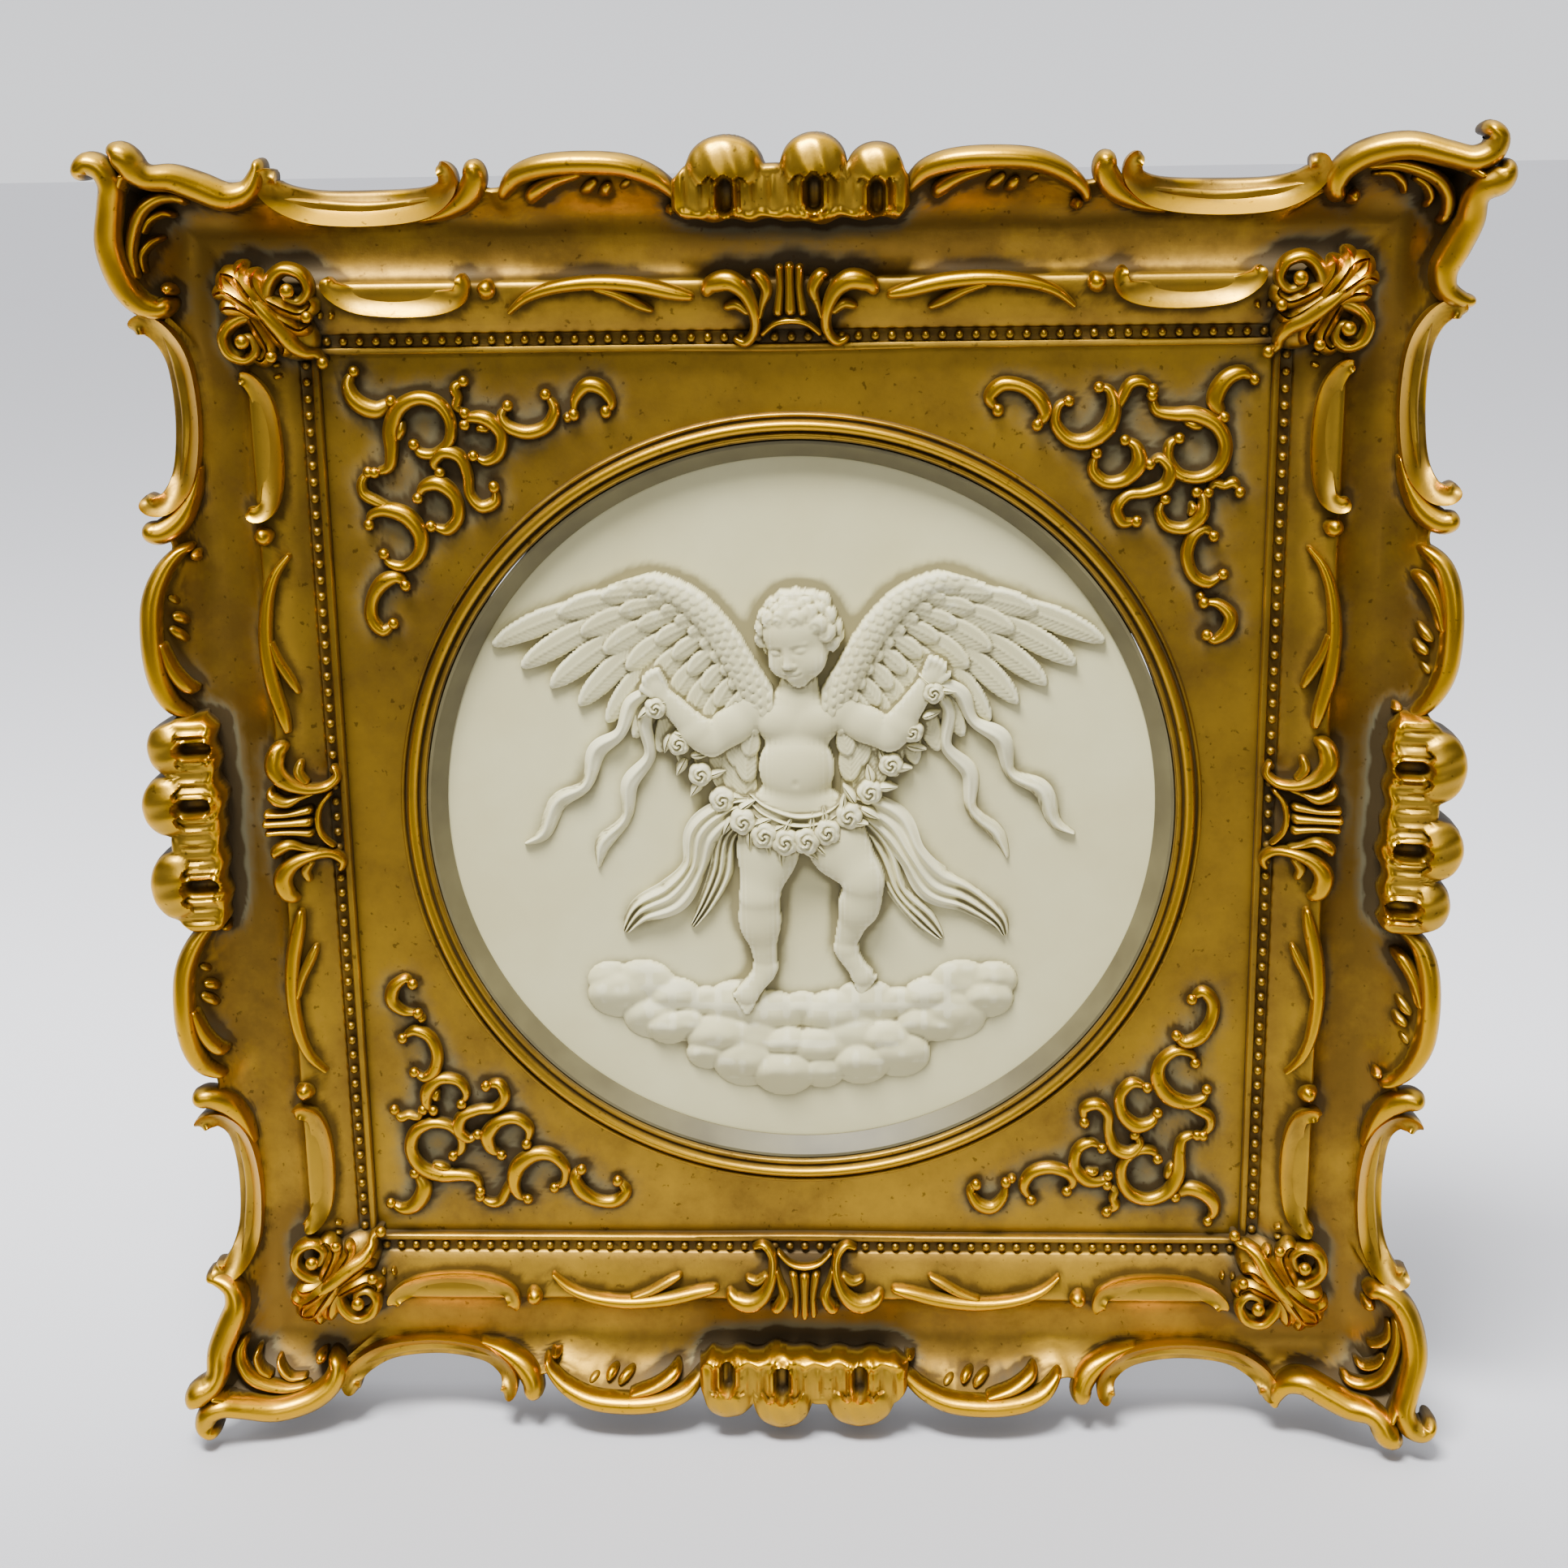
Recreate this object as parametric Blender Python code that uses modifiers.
"""Cherub wall plaque: carved gilt frame, spandrel panel, sight liner and relief roundel.

World frame: metres, +Z up, the wall is the plane y = 0 and the plaque faces -Y.
The origin lies on the flat back of the top rail, where the plaque rests on the wall.
Plan dimensions are millimetres from the middle of the plaque; heights are measured
from the wall towards the viewer.
"""
import math

import bmesh
import bpy
import numpy as np

MM = 0.001

# Plan
ORIGIN_UP = 176.0          # middle of the plaque to the origin on the top rail
TALLNESS = 1.016           # the frame is a little taller than wide
STRETCH_FROM = 133.0       # inside this radius the roundel stays a true circle
STRETCH_TO = 156.0
SIGHT_HALF = 150.0
FILLET_OUT = 152.2
BEAD_BED_OUT = 156.2
LIP_OUT = 157.4
BACK_OUT = 190.0
CORNER_OUT = 209.0
CORNER_RAIL = 170.0

# Heights above the wall
PANEL_BACK = 6.0
PANEL_FACE = 20.0
LIP_UNDER = 20.3
FILLET_TOP = 24.2
BEAD_BED = 22.4
COVE_BOTTOM = 21.0

# Places where the carving turns, measured along the outer edge: on the shell in the
# middle of a side, and then on each half of the side
SHELL_STOPS = (-33.0, -27.0, -19.0, -11.0, -5.0, 2.0, 8.0, 14.0, 18.0, 22.0, 27.5, 33.0)
HALF_SIDE_STOPS = (36.0, 48.0, 64.0, 80.0, 93.0, 101.0, 109.0, 130.5, 152.0, 160.0, 164.5,
                   169.0, 177.0, 188.0, 194.0, 198.0, 203.0, 206.0)
SIDE_TURNS = 4

# Rim carving, along half a side
SHELL_LOBES = ((-19.0, 11.0), (8.0, 8.5), (27.5, 8.5))
SHELL_HALF = 36.0
SHELL_FOOT = 204.5
SHELL_REACH = 10.5
SHELL_TOP = 46.0
SHELL_WIDTH = 20.0
ARCH_MID = 64.0
ARCH_HALF = 29.5
ARCH_RISE = 11.5
ARCH_TOP = 35.5
ARCH_CROWN = 6.0
DIP_MID = 130.5
DIP_HALF = 29.5
DIP_DEPTH = 8.0
DIP_EDGE = 200.4
DIP_TOP = 26.5
DIP_ENDS = 9.0             # how much higher the ends of a dip stand than its middle
HOOK_WIDTH = 6.5
INNER_HOOK = 10.4
OUTER_HOOK = 9.0
CORNER_SCROLL_MID = 188.0
CORNER_SCROLL_HALF = 23.0
CORNER_SCROLL_REACH = 14.0
CORNER_SLOPE = 0.12
CORNER_TOP = 36.0
CORNER_RISE = 17.0
CORNER_WIDER = 7.0
LEAF_BEFORE = (5.5, -198.0, 6.0)     # reach, place and half width of the corner's two leaves
LEAF_AFTER = (4.5, 205.0, 4.5)
RIM_BASE = 198.0
BAND_WIDTH = 7.0
DIP_WIDER = 3.0

# Inner rail, along half a side: inner and outer edge and top height
RAIL = (163.5, 169.0, 30.0)
FAN_RAIL = (156.5, 177.0, 34.0)
CORNER_SPRAY = (156.5, 178.0, 36.0)
FAN_END = (22.0, 29.0)
SPRAY_START = (143.0, 152.0)
RAIL_ARCH_MID = 60.0
RAIL_ARCH_HALF = 32.0
RAIL_DIP_MID = 125.0
RAIL_DIP_HALF = 24.0
RAIL_PAIR_MID = 97.0
RAIL_PAIR_HALF = 9.0

# Spandrel panel
PANEL_HALF = 157.0
OPENING = 124.0
RING_OUT = 133.0
RING_STEPS = 64
SCROLL_HEIGHT = 3.4
SCROLL_END_HEIGHT = 0.9
SCROLL_END_HALF = 0.45
SCROLL_HALF = 1.8
SCROLL_STEP = 3.6

# Liner and roundel
LINER_OUT = 123.7
LINER_IN = 118.0
LINER_TOP = 21.4
ROUNDEL_RADIUS = 123.7
ROUNDEL_FACE = 15.0
LINER_UNDER = 15.3
RELIEF_RADIUS = 116.5
SWELL = 0.65               # 0.5 is a full round, 1 a flat swelling
RELIEF_CELLS = 40

# Child: middle, half sizes and height of each mass; ends, thickness and height of each limb
CHILD_MASSES = (
    ((1.5, 61.0), (14.5, 13.5), 9.5),        # crown of the head
    ((0.5, 53.0), (10.5, 10.5), 9.8),        # face
    ((0.0, 31.0), (15.5, 11.0), 6.6),        # chest
    ((-0.6, 15.0), (13.5, 13.5), 8.3),       # belly
    ((-0.8, 1.0), (15.5, 10.5), 7.4),        # hips
    ((-47.5, 45.5), (4.8, 5.2), 6.6),        # hands
    ((46.0, 50.0), (4.8, 5.2), 6.6),
)
CHILD_LIMBS = (
    ((0.8, 47.0), (0.0, 38.0), (5.8, 7.2), (5.0, 5.6)),          # neck
    ((-14.0, 35.4), (-32.0, 25.2), (7.0, 5.8), (5.6, 6.6)),      # arms
    ((-32.0, 25.4), (-44.0, 39.5), (5.8, 4.2), (6.8, 6.6)),
    ((14.4, 34.6), (32.4, 27.0), (7.0, 5.8), (5.6, 6.6)),
    ((32.4, 27.4), (42.4, 43.4), (5.8, 4.2), (6.8, 6.6)),
    ((-9.0, -4.0), (-13.6, -29.0), (10.8, 7.6), (7.6, 7.6)),     # legs and feet
    ((-13.8, -33.0), (-12.4, -53.0), (7.2, 4.8), (7.4, 5.0)),
    ((-12.6, -57.0), (-20.0, -67.0), (4.6, 4.2), (5.0, 5.4)),
    ((8.6, -4.0), (21.0, -23.0), (10.8, 7.8), (7.6, 9.2)),
    ((21.0, -27.0), (15.6, -46.0), (7.2, 4.8), (8.6, 4.4)),
    ((15.4, -50.0), (22.0, -62.0), (4.4, 4.0), (4.2, 4.0)),
)
WING_LIMBS = (                               # right wing; the left one is its mirror image
    ((9.0, 33.0), (31.0, 70.0), (7.5, 7.0), (4.6, 5.2)),
    ((31.0, 70.0), (57.0, 76.0), (7.0, 4.5), (5.2, 4.2)),
    ((46.0, 69.0), (92.0, 58.5), (9.5, 5.0), (3.8, 2.6)),
    ((40.0, 60.0), (84.0, 41.0), (10.5, 7.0), (3.8, 2.6)),
    ((32.0, 49.0), (62.0, 23.0), (10.5, 7.0), (3.8, 2.6)),
    ((24.0, 38.0), (38.0, 8.0), (9.0, 6.0), (3.6, 2.4)),
    ((16.0, 30.0), (21.0, 5.0), (7.0, 5.0), (3.6, 2.4)),
)
SASH_LIMBS = (
    ((-17.0, 5.0), (-1.0, -3.4), (5.0, 6.4), (5.6, 9.0)),
    ((-1.0, -3.4), (17.0, 4.6), (6.4, 5.0), (9.0, 5.6)),
    ((15.0, 2.0), (33.0, -8.0), (4.0, 7.0), (5.2, 5.0)),
    ((33.0, -8.0), (44.0, -25.0), (7.0, 7.0), (5.0, 4.2)),
    ((44.0, -25.0), (64.0, -37.0), (7.0, 4.5), (4.2, 3.0)),
    ((-15.0, 2.0), (-33.0, -10.0), (4.0, 7.0), (5.2, 5.0)),
    ((-33.0, -10.0), (-42.0, -29.0), (7.0, 6.5), (5.0, 4.2)),
    ((-42.0, -29.0), (-56.0, -38.0), (6.5, 4.5), (4.2, 3.0)),
)

# Garland and clouds
GARLAND_HALF = 47.0
GARLAND_LOW = -9.5
GARLAND_RISE = 51.0
GARLAND_POWER = 1.9
GARLAND_LEAN = 2.4
ROSES = 13
ROSE_HALF = (6.0, 6.0)
ROSE_HEIGHT = 8.4
CLOUD_ARCS = (                               # puffs, half length, middle, sag, size, height
    (9, 76.0, -55.0, 18.0, 10.5, 3.8),
    (7, 63.0, -67.0, 18.0, 11.5, 4.8),
    (5, 46.0, -79.0, 15.0, 11.0, 5.2),
)
PUFF_SHRINK = 0.5          # how much smaller the last puff of an arc is than its middle one
PUFF_WIDE = 1.2


def clear_scene():
    for thing in list(bpy.data.objects):
        bpy.data.objects.remove(thing, do_unlink=True)
    for mesh in list(bpy.data.meshes):
        bpy.data.meshes.remove(mesh)


def new_collection(name):
    group = bpy.data.collections.new(name)
    bpy.context.scene.collection.children.link(group)
    return group


def new_material(name, colour, roughness, metallic=0.0):
    material = bpy.data.materials.new(name)
    material.use_nodes = True
    shader = material.node_tree.nodes["Principled BSDF"]
    shader.inputs["Base Color"].default_value = (*colour, 1.0)
    shader.inputs["Roughness"].default_value = roughness
    shader.inputs["Metallic"].default_value = metallic
    material.diffuse_color = (*colour, 1.0)
    return material


def smooth(x, low, high):
    part = np.clip((x - low) / (high - low), 0.0, 1.0)
    return part * part * (3.0 - 2.0 * part)


def bell(x, middle, half):
    part = np.clip(np.abs(x - middle) / half, 0.0, 1.0)
    return np.cos(part * math.pi / 2.0) ** 2


def dome(x, middle, half):
    return np.sqrt(np.clip(1.0 - ((x - middle) / half) ** 2, 0.0, 1.0))


def to_plan(x, up, height):
    """Plan position and height above the wall in the pieces' own frame, in metres."""
    share = smooth(np.hypot(x, up), STRETCH_FROM, STRETCH_TO)
    tall = up * (1.0 + (TALLNESS - 1.0) * share)
    return np.stack([x * MM, tall * MM, height * MM], axis=-1)


def turned(x, up, turns):
    """The same plan point, a number of quarter turns clockwise."""
    for _ in range(turns % 4):
        x, up = up, -x
    return x, up


def wrapped_faces(rows, columns):
    """Quads of a grid that closes on itself both ways."""
    faces = []
    for i in range(rows):
        for j in range(columns):
            a = i * columns + j
            b = i * columns + (j + 1) % columns
            c = ((i + 1) % rows) * columns + (j + 1) % columns
            d = ((i + 1) % rows) * columns + j
            faces.append((a, b, c, d))
    return faces


def place(name, work, material, group):
    """A mesh object hung on the wall: its own Z is the height towards the viewer."""
    bmesh.ops.recalc_face_normals(work, faces=work.faces)
    if work.calc_volume(signed=True) < 0.0:
        bmesh.ops.reverse_faces(work, faces=work.faces)
    mesh = bpy.data.meshes.new(name)
    work.to_mesh(mesh)
    work.free()
    return hang(bpy.data.objects.new(name, mesh), material, group)


def hang(thing, material, group):
    thing.rotation_euler = (math.pi / 2.0, 0.0, 0.0)
    thing.location = (0.0, 0.0, -ORIGIN_UP * MM)
    if material:
        thing.data.materials.append(material)
    group.objects.link(thing)
    return thing


def as_cutter(thing):
    thing.hide_render = True
    thing.display_type = "WIRE"
    return thing


def loft(points, faces):
    """Points and faces of a section carried along a side, with flat triangles."""
    work = bmesh.new()
    corners = [work.verts.new(point) for point in points]
    for face in faces:
        work.faces.new([corners[index] for index in face])
    bmesh.ops.triangulate(work, faces=work.faces)
    return work


def shell_edge(x):
    """Outer edge of the shell in the middle of a side: three round lobes."""
    edge = np.full_like(x, SHELL_FOOT)
    for middle, half in SHELL_LOBES:
        edge = np.maximum(edge, SHELL_FOOT + SHELL_REACH * dome(x, middle, half))
    return edge


def rim_edge(x):
    """Distance of the outer edge from the middle of the plaque, along one side."""
    away = np.abs(x)
    arch = RIM_BASE + ARCH_RISE * np.clip(1.0 - ((away - ARCH_MID) / ARCH_HALF) ** 2, 0.0, 1.0)
    reach = np.clip(np.abs(away - DIP_MID) / DIP_HALF, 0.0, 1.0)
    dip = DIP_EDGE + DIP_DEPTH * reach ** 4
    inner_hook = RIM_BASE + INNER_HOOK * dome(away, DIP_MID - DIP_HALF, HOOK_WIDTH)
    outer_hook = RIM_BASE + OUTER_HOOK * dome(away, DIP_MID + DIP_HALF, HOOK_WIDTH - 2.0)
    reached = RIM_BASE + CORNER_SCROLL_REACH
    scroll = RIM_BASE + CORNER_SCROLL_REACH * dome(away, CORNER_SCROLL_MID, CORNER_SCROLL_HALF)
    past = reached - CORNER_SLOPE * (away - CORNER_SCROLL_MID)
    scroll = np.where(away > CORNER_SCROLL_MID, past, scroll)
    edge = np.where(away < DIP_MID - DIP_HALF, np.maximum(arch, inner_hook), dip)
    edge = np.where(away > DIP_MID + DIP_HALF, np.maximum(outer_hook, scroll), edge)
    edge = np.where(away < SHELL_HALF, np.maximum(shell_edge(x), RIM_BASE), edge)
    for reach, middle, half in (LEAF_BEFORE, LEAF_AFTER):
        edge = edge + reach * bell(x, middle, half)
    return np.where(away > CORNER_OUT - 0.01, CORNER_OUT, edge)


def rim_height(x):
    """Height of the carved rim: low in the dips, high on the shells and the corners."""
    away = np.abs(x)
    shell = SHELL_TOP * np.ones_like(x)
    arch = ARCH_TOP + ARCH_CROWN * dome(away, ARCH_MID, ARCH_HALF + 2.0)
    reach = np.clip(np.abs(away - DIP_MID) / DIP_HALF, 0.0, 1.0)
    dip = DIP_TOP + DIP_ENDS * reach ** 3
    scroll = CORNER_TOP + CORNER_RISE * smooth(away, CORNER_SCROLL_MID - 20.0, CORNER_OUT)
    height = np.where(away < SHELL_HALF, shell, arch)
    height = np.where(away > DIP_MID - DIP_HALF - HOOK_WIDTH, dip, height)
    return np.where(away > DIP_MID + DIP_HALF + 3.0, scroll, height)


def rim_width(x):
    """Width of the carved band between its outer edge and the cove."""
    away = np.abs(x)
    width = BAND_WIDTH + DIP_WIDER * bell(away, DIP_MID, DIP_HALF + 4.0)
    width = np.where(away < SHELL_HALF, SHELL_WIDTH, width)
    return width + CORNER_WIDER * smooth(away, CORNER_SCROLL_MID + 2.0, CORNER_OUT)


def rail_lines(x):
    """Inner and outer edge of the carved inner rail along one side, and its height."""
    away = np.abs(x)
    arch = np.clip(1.0 - ((away - RAIL_ARCH_MID) / RAIL_ARCH_HALF) ** 2, 0.0, 1.0)
    dip = bell(away, RAIL_DIP_MID, RAIL_DIP_HALF)
    pair = bell(away, RAIL_PAIR_MID, RAIL_PAIR_HALF)
    inner = RAIL[0] + 5.0 * arch - 2.0 * dip
    outer = RAIL[1] + 5.2 * arch + 1.5 * dip + 4.0 * pair
    height = RAIL[2] + 3.0 * arch - 1.0 * dip + 3.0 * pair
    lines = [inner, outer, height]
    middle = 1.0 - smooth(away, *FAN_END)
    corner = smooth(away, *SPRAY_START)
    for share, others in ((middle, FAN_RAIL), (corner, CORNER_SPRAY)):
        lines = [line * (1.0 - share) + other * share for line, other in zip(lines, others)]
    return lines


def side_shares():
    """Columns of the frame from one mitre to the next, as shares of half a side."""
    left = [-stop for stop in reversed(HALF_SIDE_STOPS)]
    stops = [-CORNER_OUT] + left + list(SHELL_STOPS) + list(HALF_SIDE_STOPS)
    return np.array(stops) / CORNER_OUT


def frame_rows(share):
    """Closed section of the frame at each place along a side.

    Each row is its corner distance, its distances from the middle and its heights.
    """
    rim_x = share * CORNER_OUT
    edge = rim_edge(rim_x)
    top = rim_height(rim_x)
    width = rim_width(rim_x)
    rail_in, rail_out, rail_top = rail_lines(share * CORNER_RAIL)
    flat = np.ones_like(share)
    foot = edge - width
    cove = 0.5 * (foot + rail_out)
    return [
        (LIP_OUT * flat, 0.0 * flat),
        (LIP_OUT * flat, LIP_UNDER * flat),
        (SIGHT_HALF * flat, LIP_UNDER * flat),
        (SIGHT_HALF * flat, FILLET_TOP * flat),
        (FILLET_OUT * flat, FILLET_TOP * flat),
        (BEAD_BED_OUT * flat, BEAD_BED * flat),
        (rail_in, rail_top - 3.0),
        (0.55 * rail_in + 0.45 * rail_out, rail_top),
        (rail_out, rail_top - 3.5),
        (cove, COVE_BOTTOM * flat),
        (foot, np.minimum(top - 6.0, 27.0)),
        (foot + 1.6, top),
        (edge - 1.0, top - 1.0),
        (edge, top - 6.0),
        (BACK_OUT * flat, 0.0 * flat),
    ]


def make_frame(material, group):
    share = side_shares()
    closing = np.append(share, 1.0)
    rows = frame_rows(closing)
    points = []
    for distance, height in rows:
        reach = distance[-1]
        for turns in range(SIDE_TURNS):
            x, up = turned(share * reach, distance[:-1].copy(), turns)
            points.extend(to_plan(x, up, height[:-1]))
    faces = wrapped_faces(len(rows), SIDE_TURNS * len(share))
    return place("frame", loft(points, faces), material, group)


def turned_ring(name, section, group):
    """A closed section, its inner side first, turned about the middle of the plaque."""
    mesh = bpy.data.meshes.new(name)
    points = [(radius * MM, 0.0, height * MM) for radius, height in section]
    count = len(points)
    mesh.from_pydata(points, [(i, (i + 1) % count) for i in range(count)], [])
    thing = hang(bpy.data.objects.new(name, mesh), None, group)
    screw = thing.modifiers.new("turn", "SCREW")
    screw.axis = "Z"
    screw.steps = RING_STEPS
    screw.render_steps = RING_STEPS
    screw.use_merge_vertices = True
    screw.merge_threshold = 0.00001
    screw.use_smooth_shade = False
    return thing


def make_ring_moulding(group):
    """Two thin fillets with a fuller bead between them, round the opening."""
    section = (
        (OPENING - 2.0, PANEL_FACE - 1.5),
        (OPENING - 2.0, 20.2),
        (OPENING + 1.2, 22.9),
        (OPENING + 2.6, 21.3),
        (OPENING + 4.8, 24.4),
        (OPENING + 7.0, 21.5),
        (OPENING + 8.3, 22.6),
        (RING_OUT, PANEL_FACE - 0.2),
        (RING_OUT - 1.0, PANEL_FACE - 1.5),
    )
    return as_cutter(turned_ring("ring_moulding", section, group))


def make_plate(material, group):
    """The flat square plate of the panel."""
    work = bmesh.new()
    bmesh.ops.create_cube(work, size=1.0)
    size = (2.0 * PANEL_HALF * MM, 2.0 * PANEL_HALF * TALLNESS * MM, (PANEL_FACE - PANEL_BACK) * MM)
    bmesh.ops.scale(work, vec=size, verts=work.verts)
    middle = 0.5 * (PANEL_FACE + PANEL_BACK) * MM
    bmesh.ops.translate(work, vec=(0.0, 0.0, middle), verts=work.verts)
    return place("spandrel_panel", work, material, group)


def make_opening(group):
    """The round hole through the panel and its moulding."""
    work = bmesh.new()
    bmesh.ops.create_cone(work, cap_ends=True, segments=RING_STEPS, radius1=OPENING * MM,
                          radius2=OPENING * MM, depth=80.0 * MM)
    return as_cutter(place("opening", work, None, group))


def arc(x, up, radius, start, end):
    """An arc of a spandrel scroll: middle, radius and two angles in degrees."""
    return (x, up, radius, math.radians(start), math.radians(end))


def spandrel_arcs():
    """C-scrolls of the top left spandrel."""
    return (
        arc(-133.5, 141.5, 8.2, 160.0, 320.0),
        arc(-119.0, 127.5, 8.8, 265.0, -30.0),
        arc(-133.5, 117.5, 5.2, 355.0, 250.0),
        arc(-133.5, 108.0, 4.6, 150.0, 262.0),
        arc(-129.3, 91.8, 8.8, 140.0, -120.0),
        arc(-133.0, 71.0, 6.4, 60.0, 262.0),
        arc(-115.0, 102.3, 7.2, 140.0, -120.0),
        arc(-110.0, 114.3, 4.8, 200.0, 10.0),
        arc(-100.2, 107.2, 4.6, 190.0, 355.0),
        arc(-99.3, 123.0, 6.8, 115.0, -110.0),
        arc(-104.0, 136.5, 4.4, 110.0, 235.0),
        arc(-84.4, 133.5, 8.0, 175.0, 370.0),
        arc(-63.4, 134.5, 5.8, 190.0, -12.0),
    )


def scroll_strip(x, up, radius, start, end, turns):
    """A tapered ridge along an arc, its foot sunk a little into the panel."""
    steps = max(5, int(radius * abs(end - start) / SCROLL_STEP))
    share = np.linspace(0.0, 1.0, steps + 1)
    angle = start + (end - start) * share
    fullness = np.sin(math.pi * (share * 0.9 + 0.05))
    half = SCROLL_END_HALF + (SCROLL_HALF - SCROLL_END_HALF) * fullness ** 0.6
    crest = PANEL_FACE + SCROLL_END_HEIGHT + (SCROLL_HEIGHT - SCROLL_END_HEIGHT) * fullness
    foot = np.full(steps + 1, PANEL_FACE - 1.0)
    points = []
    for offset, height in ((-1.0, foot), (0.0, crest), (1.0, foot)):
        reach = radius + offset * half
        px, pup = turned(x + reach * np.cos(angle), up + reach * np.sin(angle), turns)
        points.extend(to_plan(px, pup, height))
    count = steps + 1
    faces = [(0, count, 2 * count), (count - 1, 2 * count - 1, 3 * count - 1)]
    for row in range(3):
        for j in range(steps):
            a = row * count + j
            b = ((row + 1) % 3) * count + j
            faces.append((a, a + 1, b + 1, b))
    return points, faces


def make_spandrel_scrolls(group):
    points = []
    faces = []
    for turns in range(4):
        for values in spandrel_arcs():
            more, their_faces = scroll_strip(*values, turns)
            first = len(points)
            points.extend(more)
            faces.extend(tuple(first + index for index in face) for face in their_faces)
    return as_cutter(place("spandrel_scrolls", loft(points, faces), None, group))


def combine(thing, operation, other):
    step = thing.modifiers.new(other.name, "BOOLEAN")
    step.operation = operation
    step.solver = "EXACT"
    step.use_self = other.name == "spandrel_scrolls"
    step.object = other


def make_panel(material, group, cutters):
    plate = make_plate(material, group)
    combine(plate, "UNION", make_ring_moulding(cutters))
    combine(plate, "UNION", make_spandrel_scrolls(cutters))
    combine(plate, "DIFFERENCE", make_opening(cutters))
    return plate


def make_liner(material, group):
    """A smooth ring that slopes from the gilt moulding down to the roundel."""
    section = (
        (LINER_IN, LINER_UNDER),
        (LINER_IN, LINER_UNDER + 0.9),
        (LINER_OUT - 1.0, LINER_TOP),
        (LINER_OUT, LINER_TOP),
        (LINER_OUT, LINER_UNDER),
    )
    liner = turned_ring("sight_liner", section, group)
    liner.data.materials.append(material)
    return liner


def swell(x, up, middle, half, height):
    """A rounded form of the relief: its middle, half sizes and height."""
    across, along = (x - middle[0]) / half[0], (up - middle[1]) / half[1]
    return height * np.clip(1.0 - across ** 2 - along ** 2, 0.0, 1.0) ** SWELL


def limb(x, up, start, end, thick, height):
    """A limb between two points; its thickness and height change evenly along it."""
    ax, ay = start
    bx, by = end
    length = (bx - ax) ** 2 + (by - ay) ** 2
    share = np.clip(((x - ax) * (bx - ax) + (up - ay) * (by - ay)) / length, 0.0, 1.0)
    away = np.hypot(x - ax - share * (bx - ax), up - ay - share * (by - ay))
    wide = thick[0] + (thick[1] - thick[0]) * share
    tall = height[0] + (height[1] - height[0]) * share
    return tall * np.clip(1.0 - (away / wide) ** 2, 0.0, 1.0) ** SWELL


def relief_body(x, up):
    """Head, trunk, arms and legs of the child."""
    forms = [swell(x, up, *mass) for mass in CHILD_MASSES]
    forms += [limb(x, up, *part) for part in CHILD_LIMBS]
    return np.maximum.reduce(forms)


def relief_wings(x, up):
    """Two spread wings behind the shoulders."""
    return np.maximum.reduce([limb(abs(x), up, *part) for part in WING_LIMBS])


def garland_point(share):
    """Middle line of the garland, hung from hand to hand."""
    sag = GARLAND_RISE * abs(share) ** GARLAND_POWER
    return GARLAND_HALF * share - 1.0, GARLAND_LOW + sag + GARLAND_LEAN * share


def relief_garland(x, up):
    """Roses of the garland."""
    shares = np.linspace(-1.0, 1.0, ROSES)
    return np.maximum.reduce([swell(x, up, garland_point(float(share)), ROSE_HALF, ROSE_HEIGHT)
                              for share in shares])


def relief_clouds(x, up):
    """Arcs of puffs, each lower and shorter than the last."""
    forms = []
    for count, reach, middle, sag, size, height in CLOUD_ARCS:
        for share in np.linspace(-1.0, 1.0, count):
            shrink = 1.0 - PUFF_SHRINK * float(share) ** 2
            spot = (reach * float(share), middle - sag * (1.0 - float(share) ** 2))
            half = (PUFF_WIDE * size * shrink, size * shrink)
            forms.append(swell(x, up, spot, half, height * shrink))
    return np.maximum.reduce(forms)


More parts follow.
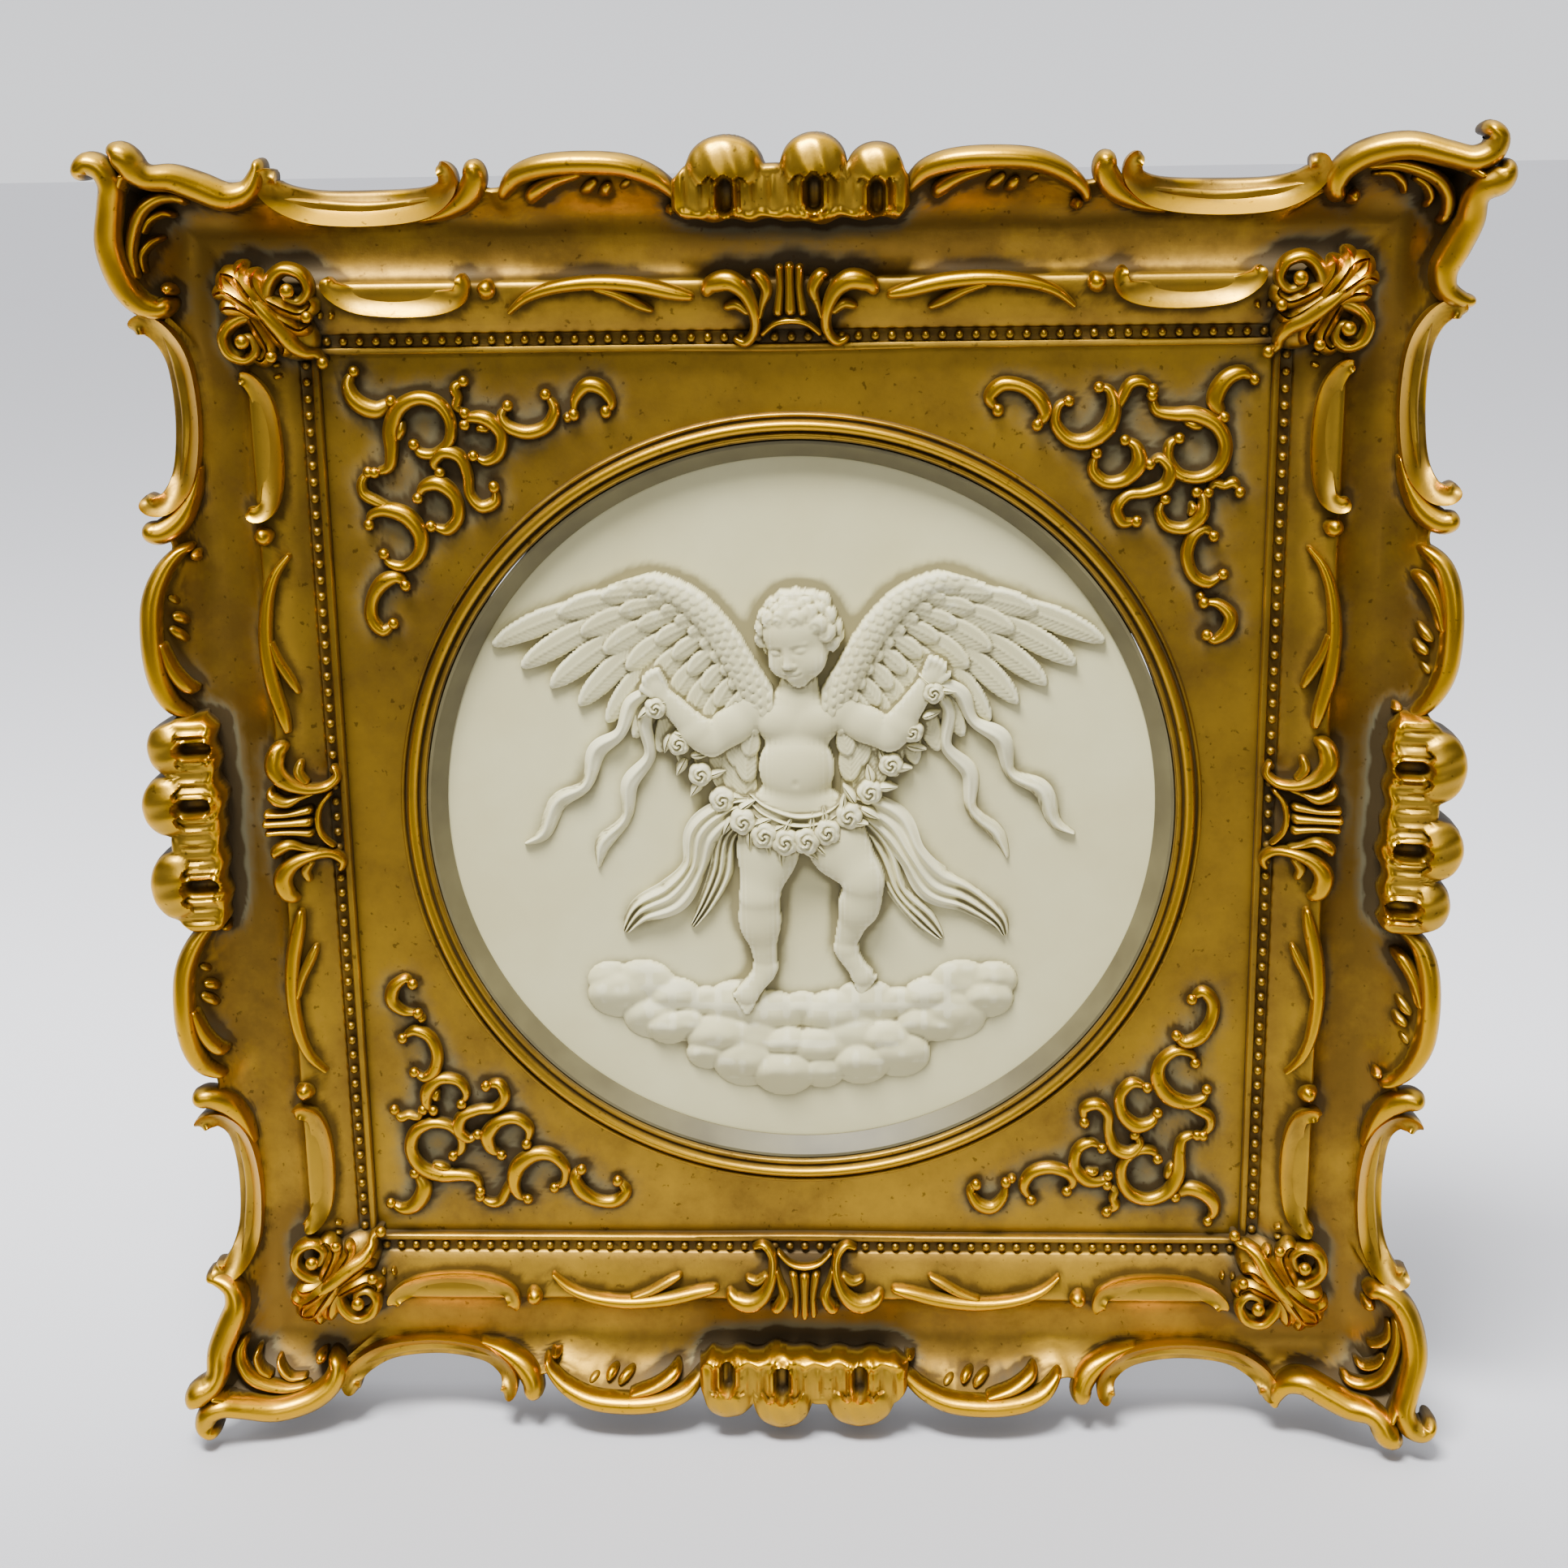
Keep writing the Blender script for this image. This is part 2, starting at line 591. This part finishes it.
def relief_height(x, up):
    """The whole relief above the ground of the roundel."""
    sash = np.maximum.reduce([limb(x, up, *part) for part in SASH_LIMBS])
    return np.maximum.reduce([relief_body(x, up), relief_wings(x, up), relief_garland(x, up),
                              relief_clouds(x, up), sash])


def square_to_disc(u, v):
    """Square grid positions drawn together in the middle and moved onto a disc."""
    u *= 0.72 + 0.28 * u * u
    v *= 0.72 + 0.28 * v * v
    return u * math.sqrt(1.0 - 0.5 * v * v), v * math.sqrt(1.0 - 0.5 * u * u)


def step_out(work, edges, radius, height):
    """Carry an open rim out to a true circle at a height."""
    grown = bmesh.ops.extrude_edge_only(work, edges=edges)["geom"]
    for vert in [item for item in grown if isinstance(item, bmesh.types.BMVert)]:
        length = math.hypot(vert.co.x, vert.co.y)
        vert.co.x *= radius * MM / length
        vert.co.y *= radius * MM / length
        vert.co.z = height * MM
    return [item for item in grown if isinstance(item, bmesh.types.BMEdge)]


def make_roundel(material, group):
    """A flat disc whose face is raised into the relief."""
    work = bmesh.new()
    bmesh.ops.create_grid(work, x_segments=RELIEF_CELLS, y_segments=RELIEF_CELLS, size=1.0)
    for vert in work.verts:
        x, up = square_to_disc(vert.co.x, vert.co.y)
        x *= RELIEF_RADIUS
        up *= RELIEF_RADIUS
        height = ROUNDEL_FACE + float(relief_height(x, up))
        vert.co = (x * MM, up * MM, height * MM)
    rim = [edge for edge in work.edges if edge.is_boundary]
    rim = step_out(work, rim, ROUNDEL_RADIUS, ROUNDEL_FACE)
    rim = step_out(work, rim, ROUNDEL_RADIUS, PANEL_BACK)
    bmesh.ops.edgeloop_fill(work, edges=rim)
    bmesh.ops.triangulate(work, faces=work.faces)
    return place("relief_roundel", work, material, group)


def main():
    clear_scene()
    group = new_collection("cherub_wall_plaque")
    cutters = new_collection("cutters")
    gilt = new_material("aged_gilt", (0.56, 0.37, 0.10), 0.38, 0.8)
    panel_gilt = new_material("panel_gilt", (0.50, 0.33, 0.09), 0.45, 0.7)
    grey = new_material("grey_green_paint", (0.24, 0.24, 0.18), 0.6)
    cream = new_material("cream_matt", (0.62, 0.59, 0.46), 0.75)
    make_frame(gilt, group)
    make_panel(panel_gilt, group, cutters)
    make_liner(grey, group)
    make_roundel(cream, group)


main()
